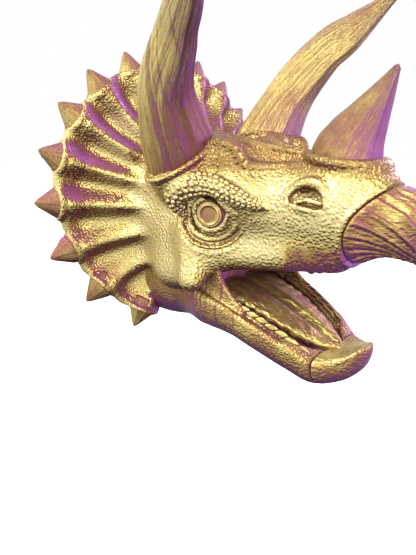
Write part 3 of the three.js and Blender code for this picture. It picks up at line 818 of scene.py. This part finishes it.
def lips(block):
    for x, z, radius in LIP_KNOBS:
        block.join(KNOB_BOX, lambda p: ellipsoid(p, (x, LIP_KNOB_Y, z), (radius, radius, radius)), 1.5)
    block.carve(PALATE_BOX, lambda p: ellipsoid(p, *PALATE), 3.0)


def collars(block):
    """A rolled edge round the foot of each spike."""
    for angle in SPIKE_ANGLES:
        middle, outward, rim = spike_frame(angle)
        centre = middle + outward * (rim - 3.4)
        box = (centre - 16, centre + 16)
        block.join(box, lambda p: ring(p, centre, outward, SPIKE_BASE + 0.4, 1.9, 0.8), 1.4)


# The head's finer skin takes over from the frill's along this line, where the two overlap by a little
SPLIT_FRONT_X = 66
SPLIT_BACK_X = 52
SPLIT_RADIUS = 70
SPLIT_OVERLAP = 1.6
SKIN_STEP = 0.62
FRILL_STEP = 0.85
BEAK_STEP = 0.55

NECK_RADIUS = 43.2


def inside_split(p):
    """Positive in front of the line where the two skins meet."""
    x, y, z = p
    radius = np.sqrt(y * y + z * z)
    return np.minimum(x - SPLIT_BACK_X, np.maximum(SPLIT_RADIUS - radius, x - SPLIT_FRONT_X))


def sunk_past(split):
    """The skin that runs on under its neighbour sinks by up to 0.7 mm, so that it stays hidden."""
    return (0.35 * np.clip(split / 1.5, 0, 2)).astype(np.float32)


def bump_at(distance, width):
    return np.exp(-((distance / width) ** 2))


def upper_skin():
    block = Block((48, 0, -56), (192, 66, 60), SKIN_STEP)
    p = block.whole()
    head_and_frill(block, p)
    eye_and_brow(block)
    horn_feet(block)
    forehead(block)
    nostril(block)
    lips(block)
    split = inside_split(p)
    block.field += sunk_past(-split)
    block.field = np.maximum(block.field, -(split + SPLIT_OVERLAP))
    x, y, z = p
    seam = x - (SEAM_X + z * z / SEAM_CURVE) + 0.08
    block.field -= (0.5 * bump_at(seam + 1.2, 1.1) - 0.35 * bump_at(seam + 3.6, 1.0)).astype(np.float32)
    block.field = smooth_max(block.field, seam, 0.8)
    piece(block.mesh("head_skin"), skin_material, "skin", "head")


def outer_skin():
    block = Block((-2, 0, -88), (68, 92, 92), FRILL_STEP)
    p = block.whole()
    head_and_frill(block, p)
    x, y, z = p
    radius = np.sqrt(y * y + z * z)
    neck = np.maximum(radius - (NECK_RADIUS + 0.8 * np.cos((x - 2) / 4.2)), x - 40)
    block.field = smooth_min(block.field, np.maximum(neck, -x), 5)
    block.field = np.maximum(block.field, -x)
    collars(block)
    split = inside_split(p)
    block.field += sunk_past(split)
    block.field = np.maximum(block.field, split - SPLIT_OVERLAP)
    piece(block.mesh("frill_skin"), frill_material, "skin", "frill", "neck")


# Jaw

HOLLOW_X = (97, 174)
MEMBRANE_TOP = -17
MEMBRANE_BOTTOM = -48
JAW_SEAM_X = 172.5
JAW_BOX = ((94, 0, -80), (178, 44, -20))
MEMBRANE_BOX = ((84, 16, -60), (138, 44, -12))
GUM_BOX = ((100, 0, -80), (176, 44, -20))
GUM_X = (106, 120, 135, 150, 162, 169)


def jaw_hollow(p):
    x, y, z = p
    back, front = HOLLOW_X
    flat_x = np.clip(x, back, front)
    share = (flat_x - back) / (front - back)
    top = along(JAW, flat_x, 1)
    half_width = (along(JAW, flat_x, 3) - 4.6) * np.minimum(1, np.sqrt(4 * (1 - share)) + 0.05)
    depth = 15 - 8 * share
    reach = (np.abs(y / half_width) ** 3 + np.abs((z - top) / np.where(z > top, 14, depth)) ** 3) ** (1 / 3)
    return smooth_max((reach - 1) * depth, np.maximum(back - x, x - front), 3)


def membrane(p):
    """Fold of skin that joins the jaws behind the corner of the mouth."""
    x, y, z = p
    front = 115.5 + 17 * np.clip((-26 - z) / 18, 0, 1) ** 1.7
    wall = np.abs(y - along(JAW, np.clip(x, 84, 140), 3) + 6.5) - 1.5
    ends = np.maximum(np.maximum(MEMBRANE_BOTTOM - z, z - MEMBRANE_TOP), 86 - x)
    return smooth_max(smooth_max(wall, x - front, 1.5), ends, 1.0)


def lower_skin():
    block = Block((30, 0, -88), (196, 44, -6), SKIN_STEP)
    p = block.whole()
    x, y, z = p
    block.field[:] = oval_bar(p, JAW, (4.0, 2.3), 0.3)
    block.carve(JAW_BOX, jaw_hollow, 2.5)
    block.field = smooth_min(block.field, oval_bar(p, THROAT, (2.5, 2.5)), 8)
    block.join(MEMBRANE_BOX, membrane, 2.0)
    gum = [(at, along(JAW, at, 3) - 8.6, along(JAW, at, 1) - 6.0, 1.9) for at in GUM_X]
    gum = curve_through(gum, 20)
    block.join(GUM_BOX, lambda q: tube(q, gum), 1.5)
    seam = (x - JAW_SEAM_X) + (z + 70) * 0.1
    jaw = block.field
    block.field = smooth_max(smooth_max(jaw, seam + 0.2, 0.8), 36 - x, 1.0)
    piece(block.mesh("jaw_skin"), jaw_material_with_painted_shade, "skin", "lower_jaw", "throat")
    block.field = smooth_max(jaw, -seam + 0.2, 0.8)
    piece(block.mesh("lower_beak_shell"), lower_beak_material, "beak", "lower_beak")


def beak():
    block = Block((176, 0, -20), (225, 26, 34), BEAK_STEP)
    p = block.whole()
    x, y, z = p
    block.field[:] = head_masses(p)
    seam = x - (SEAM_X + z * z / SEAM_CURVE) - 0.08
    angle = np.arctan2(y, z - 4 + 0.012 * (x - 180) ** 2)
    fine = np.sin(23 * angle + 0.04 * x) + 0.8 * np.sin(41 * angle - 0.05 * x + 1)
    fine *= smooth_step(0, 5, seam) * (1 - smooth_step(28, 38, seam))
    block.field += (0.36 * fine).astype(np.float32)
    block.field += (0.5 * bump_at(seam, 1.5)).astype(np.float32)
    block.field = smooth_max(block.field, -seam, 0.8)
    piece(block.mesh("upper_beak_shell"), beak_material, "beak", "upper_beak")


# Horns, tongue and eyes

def around_in(count):
    return np.arange(count) * 2 * np.pi / count


def horn(name, stations, side, material, node):
    """A grooved horn along its stations, with ridges that turn a little and fade towards the tip."""
    rows = curve_through(stations, 120)
    centres = rows[:, :3]
    tangents = np.gradient(centres, axis=0)
    tangents /= np.linalg.norm(tangents, axis=1)[:, None]
    sideways = np.array([0, 1, 0]) - tangents * tangents[:, 1:2]
    sideways /= np.linalg.norm(sideways, axis=1)[:, None]
    fore = np.cross(sideways, tangents)
    around = around_in(96)
    rings = []
    for i, (centre, row) in enumerate(zip(centres, rows)):
        share = i / (len(rows) - 1)
        ridge = 0.42 * np.sin(9 * around + 2.2 * share) + 0.3 * np.sin(17 * around - 3 * share + 1)
        radius = row[3] + ridge * (1 - share) ** 0.6
        long_way = np.outer(radius * row[4] * np.cos(around), fore[i])
        rings.append(centre + long_way + np.outer(radius / row[4] * np.sin(around), sideways[i]))
    tip = centres[-1] + tangents[-1] * rows[-1][3] * 0.7
    flip = [1, side, 1]
    mesh = closed_grid(name, np.array(rings) * flip, centres[0] * flip, tip * flip)
    piece(mesh, material, "horn", node)


def tongue():
    """A tongue with a furrow down its middle, raised edges and a faint wave along its length."""
    rings = []
    around = around_in(64)
    for x in np.linspace(TONGUE[0][0], TONGUE[-1][0], 70):
        edge, half_width, thickness = [along(TONGUE, x, i) for i in (1, 2, 3)]
        across = half_width * 1.1 * np.cos(around) * (1 + 0.035 * math.sin(x * 0.9))
        crown = 3.4 - 3.6 * np.exp(-((across / 3.2) ** 2))
        curl = 1.2 * np.sin(np.abs(np.cos(around)) * 6)
        up = np.where(np.sin(around) > 0, crown + 0.25 * curl, thickness) * np.sin(around)
        rings.append(np.column_stack([np.full(64, x), across, edge + up]))
    start = (TONGUE[0][0], 0, -46)
    end = (TONGUE[-1][0] + 0.6, 0, -60.5)
    mesh = closed_grid("tongue_surface", rings, start, end)
    piece(mesh, mouth_material, "mouth", "tongue")


BALL_RADIUS = 9.4
PUPIL_HEIGHT = 8.1
PUPIL_RADIUS = 4.45

# Front of the eye: radius and height of each ring, down to the flat pupil
EYE_RINGS = [
    (7.4, 6.6), (6.9, 7.2), (6.5, 7.9), (6.1, 8.2), (5.9, 7.7), (5.6, 8.5),
    (5.2, 8.8), (4.8, 8.7), (4.6, 8.2), (4.4, 8.0), (3.0, 8.05), (1.5, 8.1),
]


def eyeball(name, side, node):
    around = around_in(72)
    ball = np.radians(range(178, 60, -6))
    profile = [(BALL_RADIUS * math.sin(turn), BALL_RADIUS * math.cos(turn)) for turn in ball] + EYE_RINGS
    rings = []
    for radius, height in profile:
        fore = np.outer(radius * np.cos(around), FORWARD)
        rings.append(EYE + height * LOOK + fore + np.outer(radius * np.sin(around), UPWARD))
    flip = [1, side, 1]
    front = (EYE + LOOK * PUPIL_HEIGHT) * flip
    mesh = closed_grid(name, np.array(rings) * flip, (EYE - LOOK * BALL_RADIUS) * flip, front)
    piece(mesh, eye_material, "eye", node)
    mesh.materials.append(pupil_material)
    middle = Vector(front * MM)
    for polygon in mesh.polygons:
        if (polygon.center - middle).length < PUPIL_RADIUS * MM:
            polygon.material_index = 1


# Repeated pieces: spikes, teeth and brow scales

# Profiles: height and radius
SPIKE_PROFILE = [(0, 8.0), (6, 9.0), (9.5, 8.8), (12.5, 7.0), (16, 4.7), (19.5, 2.4), (21.2, 0.9)]
SPIKE_LENGTH = 21.7
RIDGES_END = 20
TOOTH_PROFILE = [(0, 0.5), (1.5, 1.2), (3.8, 1.7), (6.2, 1.1), (8.0, 0.3)]
TOOTH_LENGTH = 8.6
TOOTH_PITCH = 5.6
LAST_TOOTH_X = 163
PEBBLE_PROFILE = [(-0.5, 1.0), (0.2, 1.0), (0.65, 0.82), (0.92, 0.45)]
PEBBLE_RADIUS = 1.45
PEBBLE_ROW_SHIFT = 1.4

# Rows of teeth: x of the first, distance in from the jaw's side, drop below its lip
TOOTH_ROWS = [(106, 6.4, 2.8), (109, 8.4, 4.8)]

# Rows of pebbles round the brow fold, in degrees from straight out
PEBBLE_ROWS = [-62, -30, 2, 34, 66, 98]


def placing_tree(name, material):
    """Geometry nodes that stand a shape on each point of a mesh, turned and sized by its attributes."""
    tree = bpy.data.node_groups.new(name, "GeometryNodeTree")
    face = tree.interface
    face.new_socket("Points", in_out="INPUT", socket_type="NodeSocketGeometry")
    face.new_socket("Shape", in_out="INPUT", socket_type="NodeSocketObject")
    face.new_socket("Pieces", in_out="OUTPUT", socket_type="NodeSocketGeometry")
    source = add(tree, "NodeGroupInput")
    shape = add(tree, "GeometryNodeObjectInfo", Object=source.outputs["Shape"])
    outward, forward, size = [
        add(tree, "GeometryNodeInputNamedAttribute", {"data_type": "FLOAT_VECTOR"}, Name=key).outputs[0]
        for key in ("outward", "forward", "size")
    ]
    axes = {"primary_axis": "Z", "secondary_axis": "X"}
    upright = add(tree, "FunctionNodeAxesToRotation", axes, i0=outward, i1=forward)
    placed = add(
        tree, "GeometryNodeInstanceOnPoints", Points=source.outputs["Points"],
        Instance=shape.outputs["Geometry"], Rotation=upright.outputs[0], Scale=size,
    )
    real = add(tree, "GeometryNodeRealizeInstances", Geometry=placed.outputs[0])
    finished = add(tree, "GeometryNodeSetMaterial", Geometry=real.outputs[0], Material=material)
    add(tree, "NodeGroupOutput", Pieces=finished.outputs[0])
    return tree


def placed_on(name, purpose, shape, places, slot):
    """Stands copies of a shape at places of (point, outward, forward, size), as one plain mesh."""
    tree = placing_tree(purpose, shape.data.materials[0])
    mesh = bpy.data.meshes.new(name + "_points")
    mesh.from_pydata([tuple(np.array(p[0]) * MM) for p in places], [], [])
    for index, key in ((1, "outward"), (2, "forward"), (3, "size")):
        layer = mesh.attributes.new(key, "FLOAT_VECTOR", "POINT")
        layer.data.foreach_set("vector", np.array([p[index] for p in places], np.float32).ravel())
    points = in_scene(mesh.name, mesh)
    modifier = points.modifiers.new("places", "NODES")
    modifier.node_group = tree
    modifier[tree.interface.items_tree["Shape"].identifier] = shape
    graph = bpy.context.evaluated_depsgraph_get()
    made = bpy.data.meshes.new_from_object(points.evaluated_get(graph))
    made.name = name
    bpy.data.objects.remove(points)
    bpy.data.objects.remove(shape)
    piece(made, None, slot)


def turned_shape(name, profile, count, ends, material, across=1.0, ridges=0.0):
    """Closed solid round Z from heights and radii, flattened along X by across, with fine ridges."""
    around = around_in(count)
    rings = []
    for height, radius in profile:
        ridge = ridges * (3 * np.sin(9 * around) + 2 * np.sin(16 * around + 1)) * (height < RIDGES_END)
        x, y = radius * (1 + ridge) * np.array([np.cos(around) * across, np.sin(around)])
        rings.append(np.column_stack([x, y, np.full(count, height)]))
    mesh = closed_grid(name, rings, *[(0, 0, z) for z in ends])
    mesh.materials.append(material)
    return in_scene(name, mesh)


def spikes():
    """Grooved cones round the frill, each standing in its collar."""
    profile = curve_through(SPIKE_PROFILE, 30)
    cone = turned_shape("spike_shape", profile, 40, (0, SPIKE_LENGTH), spike_material, 0.8, 0.01)
    places = []
    for angle, tip in zip(SPIKE_ANGLES, SPIKE_TIPS):
        middle, outward, _ = spike_frame(angle)
        root = middle + outward * (tip - SPIKE_LENGTH)
        for side in ((1,) if angle == 0 else (1, -1)):
            flip = np.array([1, side, 1])
            places.append((root * flip, outward * flip, (1, 0, 0), (1, 1, 1)))
    placed_on("frill_spikes", "stand spikes on the rim", cone, places, "horn")


def teeth():
    """Leaf-shaped teeth that overlap in a row inside each lip of the jaw."""
    profile = curve_through(TOOTH_PROFILE, 9)
    leaf = turned_shape("tooth_shape", profile, 14, (-0.2, TOOTH_LENGTH), mouth_material, 0.42)
    places = []
    for first, inset, drop in TOOTH_ROWS:
        for x in np.arange(first, LAST_TOOTH_X, TOOTH_PITCH):
            here, ahead = [np.array([along(JAW, at, 3), along(JAW, at, 1)]) for at in (x, x + 6)]
            y, z = here - (inset, drop)
            inward, slope = (ahead - here) / 6
            for side in (1, -1):
                leaning = (1, inward * side, slope + 0.32)
                places.append(((x, y * side, z), leaning, (0, side, 0.5), (1, 1, 0.92)))
    placed_on("jaw_teeth", "set teeth in the gum", leaf, places, "mouth")


def brow_scales():
    """Large pebble scales in rows over the brow fold."""
    pebble = turned_shape("pebble_shape", PEBBLE_PROFILE, 10, (-0.6, 1.0), brow_material)
    rng = np.random.default_rng(7)
    path = bar_on_skin(curve_through(BROW, 60))
    lengths = np.concatenate([[0], np.cumsum(np.linalg.norm(np.diff(path[:, :3], axis=0), axis=1))])
    places = []
    for row, turn in enumerate(np.radians(PEBBLE_ROWS)):
        at = 1.0 + (row % 2) * PEBBLE_ROW_SHIFT
        while at < lengths[-1] - 3:
            sample = np.array([np.interp(at, lengths, path[:, i]) for i in range(4)])
            ahead = np.array([np.interp(at + 1, lengths, path[:, i]) for i in range(3)])
            tangent = unit(ahead - sample[:3])
            outside = unit(np.array([0.25, 1, 0.1]) - tangent * np.dot([0.25, 1, 0.1], tangent))
            upper = np.cross(outside, tangent)
            turned = turn + rng.uniform(-0.09, 0.09)
            normal = math.cos(turned) * outside + math.sin(turned) * upper
            size = (PEBBLE_RADIUS + 0.2 * rng.uniform(-1, 1)) * (0.5 + 0.5 * sample[3] / 5)
            centre = sample[:3] + normal * (sample[3] - 0.15)
            for side in (1, -1):
                flip = np.array([1, side, 1])
                sizes = (size, size * 0.95, size * 0.9)
                places.append((centre * flip, normal * flip, tangent * flip, sizes))
            at += 2 * size * rng.uniform(0.95, 1.06)
    placed_on("brow_scales", "lay scales on the brow", pebble, places, "skin")


# Stage, light and camera, in metres

ROOM_LIGHT = 1.2
FLOOR_LIGHT = 0.08
FLOOR_Z = -0.9
FLOOR_REACH = 12
LENS_MM = 27.05
CAMERA_PLACE = (0.27084, -0.183, 0.05002)
CAMERA_AZIMUTH = math.radians(47.327)
CAMERA_TILT = math.radians(20.209)


def stage():
    """Matt white floor far below, a white backdrop, and a soft room that is darker towards the floor."""
    mesh = bpy.data.meshes.new("floor")
    corners = [(x * FLOOR_REACH, y * FLOOR_REACH, FLOOR_Z) for x, y in ((-1, -1), (1, -1), (1, 1), (-1, 1))]
    mesh.from_pydata(corners, [], [(0, 1, 2, 3)])
    floor = in_scene("floor", mesh)
    material = bpy.data.materials.new("matt white paint")
    material.use_nodes = True
    shader = material.node_tree.nodes["Principled BSDF"]
    paint = {"Base Color": colour("#FAFAFA"), "Roughness": 0.9}
    glow = {"Emission Color": colour("#FFFFFF"), "Emission Strength": 0.3}
    for key, value in (paint | glow).items():
        shader.inputs[key].default_value = value
    mesh.materials.append(material)
    floor.visible_diffuse = False
    floor.visible_glossy = False
    world = bpy.data.worlds.new("studio")
    world.use_nodes = True
    tree = world.node_tree
    tree.nodes.clear()
    seen = add(tree, "ShaderNodeLightPath").outputs["Is Camera Ray"]
    backdrop = add(tree, "ShaderNodeBackground", Color=colour("#FFFFFF"), Strength=1.0)
    aim = add(tree, "ShaderNodeSeparateXYZ", Vector=add(tree, "ShaderNodeTexCoord").outputs["Generated"])
    above = fade(tree, aim.outputs["Z"], -0.85, -0.15, FLOOR_LIGHT, ROOM_LIGHT)
    room = add(tree, "ShaderNodeBackground", Color=colour("#FAFAFA"), Strength=above)
    both = add(tree, "ShaderNodeMixShader", i0=seen, i1=room.outputs[0], i2=backdrop.outputs[0])
    add(tree, "ShaderNodeOutputWorld", Surface=both.outputs[0])
    bpy.context.scene.world = world
    bpy.context.scene.view_settings.view_transform = "Standard"


def lamp(name, place, target, size, power, tint):
    light = bpy.data.lights.new(name, "AREA")
    light.shape = "DISK"
    light.size = size
    light.energy = power
    light.color = colour(tint)[:3]
    made = in_scene(name, light)
    made.location = place
    made.rotation_euler = (Vector(target) - Vector(place)).to_track_quat("-Z", "Y").to_euler()


def daylight(place, power):
    light = bpy.data.lights.new("daylight", "SUN")
    light.energy = power
    light.angle = math.radians(25)
    in_scene("daylight", light).rotation_euler = (-Vector(place)).to_track_quat("-Z", "Y").to_euler()


def camera():
    view = bpy.data.cameras.new("camera")
    view.sensor_width = 36
    view.lens = LENS_MM
    view.clip_start = 0.01
    made = in_scene("camera", view)
    right = Vector((math.cos(CAMERA_AZIMUTH), math.sin(CAMERA_AZIMUTH), 0))
    level = math.cos(CAMERA_TILT)
    back = Vector((right.y * level, -right.x * level, math.sin(CAMERA_TILT)))
    turned = Matrix((right, back.cross(right), back)).transposed().to_4x4()
    made.matrix_world = Matrix.Translation(CAMERA_PLACE) @ turned
    bpy.context.scene.camera = made


upper_skin()
outer_skin()
lower_skin()
beak()
horn("brow_horn_l", BROW_HORN, 1, horn_far, "brow_horn_left")
horn("brow_horn_r", BROW_HORN, -1, near_horn_with_painted_shade, "brow_horn_right")
horn("nose_horn_cone", NOSE_HORN, 1, nose_material, "nose_horn")
tongue()
eyeball("eyeball_l", 1, "eye_left")
eyeball("eyeball_r", -1, "eye_right")
spikes()
teeth()
brow_scales()
stage()
lamp("window", (-0.2, -0.9, 0.75), (0.1, 0, 0), 0.45, 7, "#FFFBEF")
lamp("front", (0.95, -0.4, 0.45), (0.05, 0, 0), 0.4, 6, "#FFF8FA")
lamp("far side", (0.3, 0.9, 0.45), (0.1, 0, 0), 0.5, 5, "#F6F0FF")
daylight((-0.3, -0.6, 1.0), 1.5)
camera()
